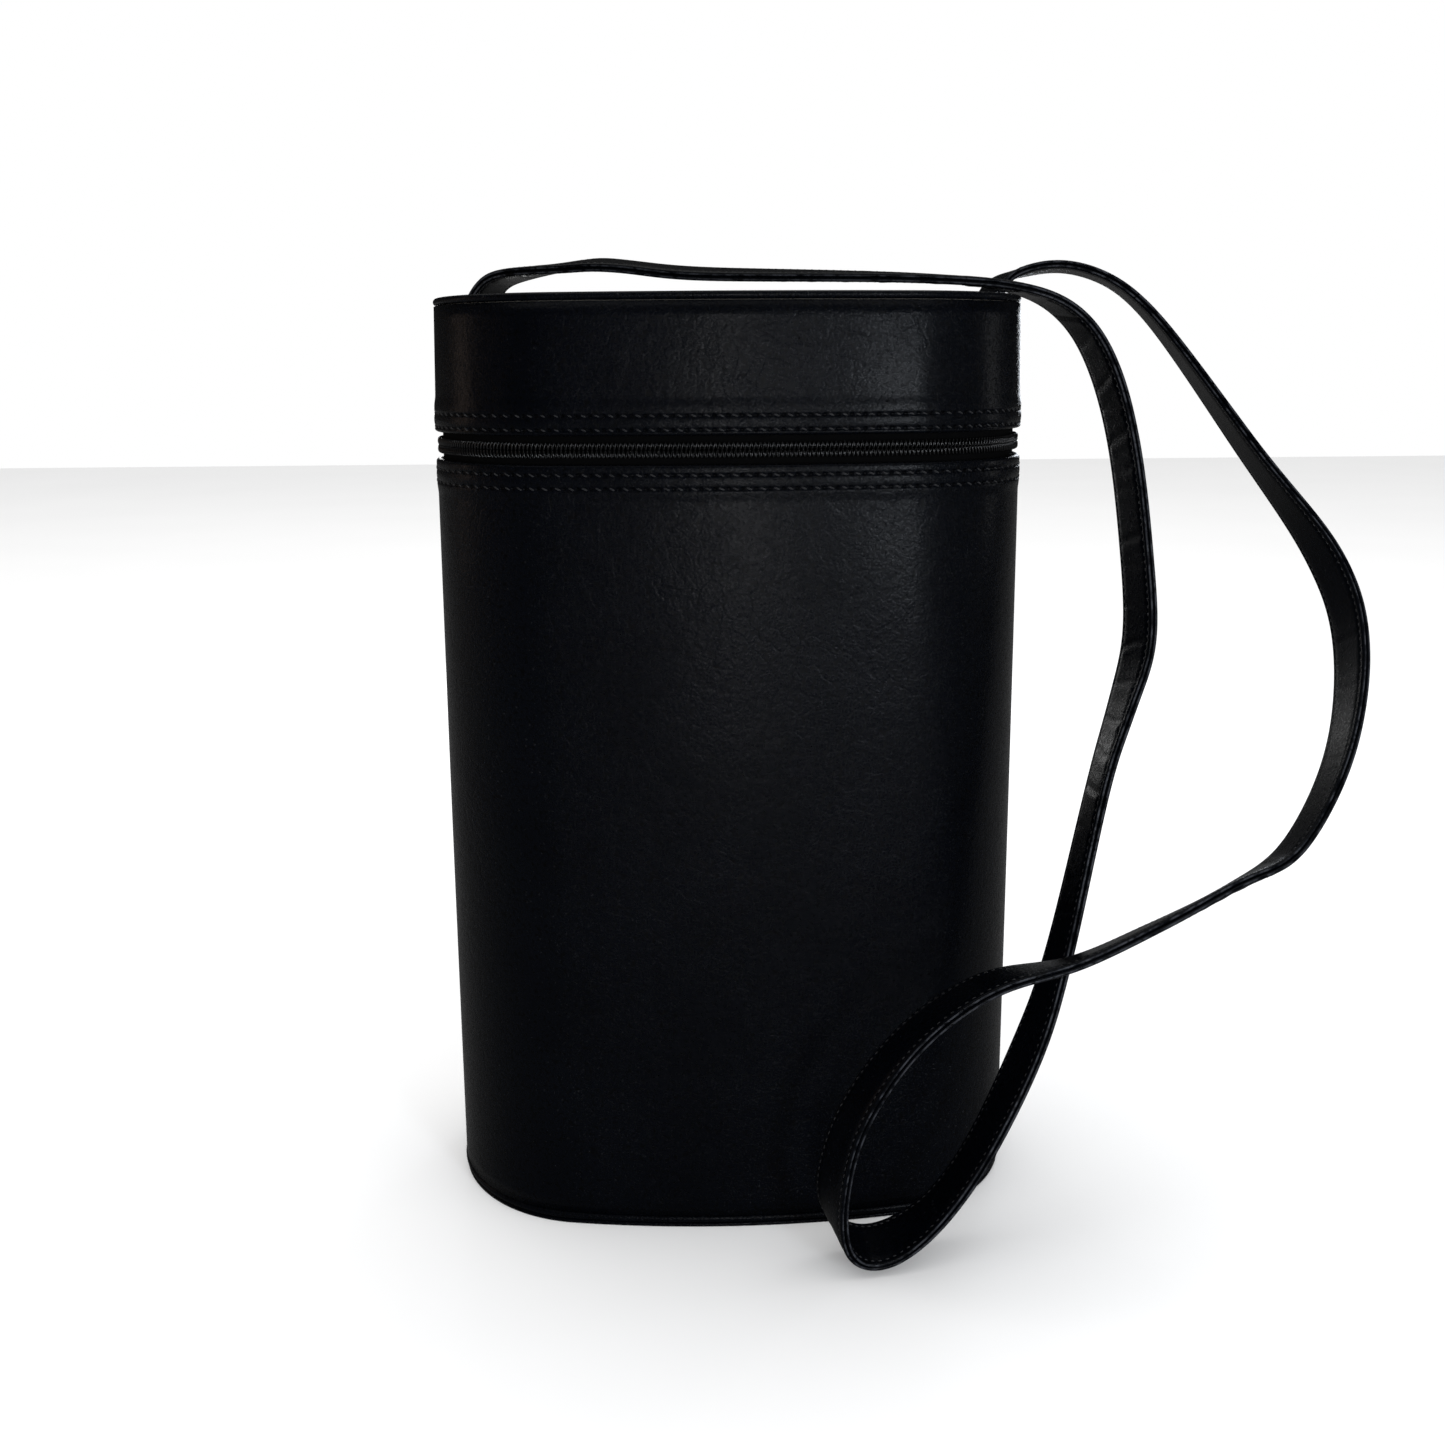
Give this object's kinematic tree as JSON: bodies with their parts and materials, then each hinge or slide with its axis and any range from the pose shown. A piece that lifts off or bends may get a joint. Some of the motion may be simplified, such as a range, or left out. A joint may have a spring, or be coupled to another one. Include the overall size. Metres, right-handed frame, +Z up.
{
  "type": "zip-top bottle carrying case",
  "caption": "Upright oval leather case with a hinged zip lid, a stiffened wall, a divider for bottles and a long shoulder strap.",
  "frame": {"origin": "middle of the base, on the surface the case stands on, measured without the strap", "axes": "+Z up through the lid, along the case's longest side; +X to the right as seen from the front; the front faces -Y and the lid's hinge is at +Y"},
  "size_m": [0.3414, 0.1658, 0.3487],
  "materials": {
    "leather": "black, smooth with a fine pebble grain, satin",
    "board": "stiff grey board, hidden inside the wall",
    "lining": "black woven lining, matt",
    "zip_tape": "black herringbone tape, matt",
    "zip_coil": "black nylon, slightly glossy",
    "zip_metal": "dark plated zinc, worn at its edges"
  },
  "bodies": {
    "case": {"body_cover": "leather", "body_board": "board", "body_lining": "lining", "base_cover": "leather", "base_welt": "leather", "base_board": "board", "base_lining": "lining", "divider": "lining", "zip_tape_lower": "zip_tape", "zip_coil_lower": "zip_coil", "zip_stop_left": "zip_metal", "zip_stop_right": "zip_metal", "hinge_leaf_lower": "leather", "strap_anchor_left": "leather", "strap_anchor_right": "leather", "strap_outer": "leather", "strap_lining": "leather"},
    "lid": {"lid_cover": "leather", "lid_welt": "leather", "lid_top_cover": "leather", "lid_top_board": "board", "lid_board": "board", "lid_top_lining": "lining", "lid_lining": "lining", "zip_tape_upper": "zip_tape", "zip_coil_upper": "zip_coil", "hinge_leaf_upper": "leather"},
    "slider": {"zip_slider": "zip_metal"},
    "pull": {"zip_pull": "zip_metal"}
  },
  "joints": [
    {"name": "lid_hinge", "type": "hinge", "parent": "case", "child": "lid", "pos_m": [0, 0.0572, 0.27995], "axis": [-1, 0, 0], "range_deg": [0, 105], "deforming": ["strap_outer", "strap_lining"]},
    {"name": "slider_travel", "type": "hinge", "parent": "case", "child": "slider", "pos_m": [-0.0515, 0, 0.27995], "axis": [0, 0, 1], "range_deg": [0, 135]},
    {"name": "pull_flip", "type": "hinge", "parent": "slider", "child": "pull", "pos_m": [-0.08482, 0.04759, 0.27995], "axis": [0, 0, 1], "range_deg": [0, 95]}
  ]
}
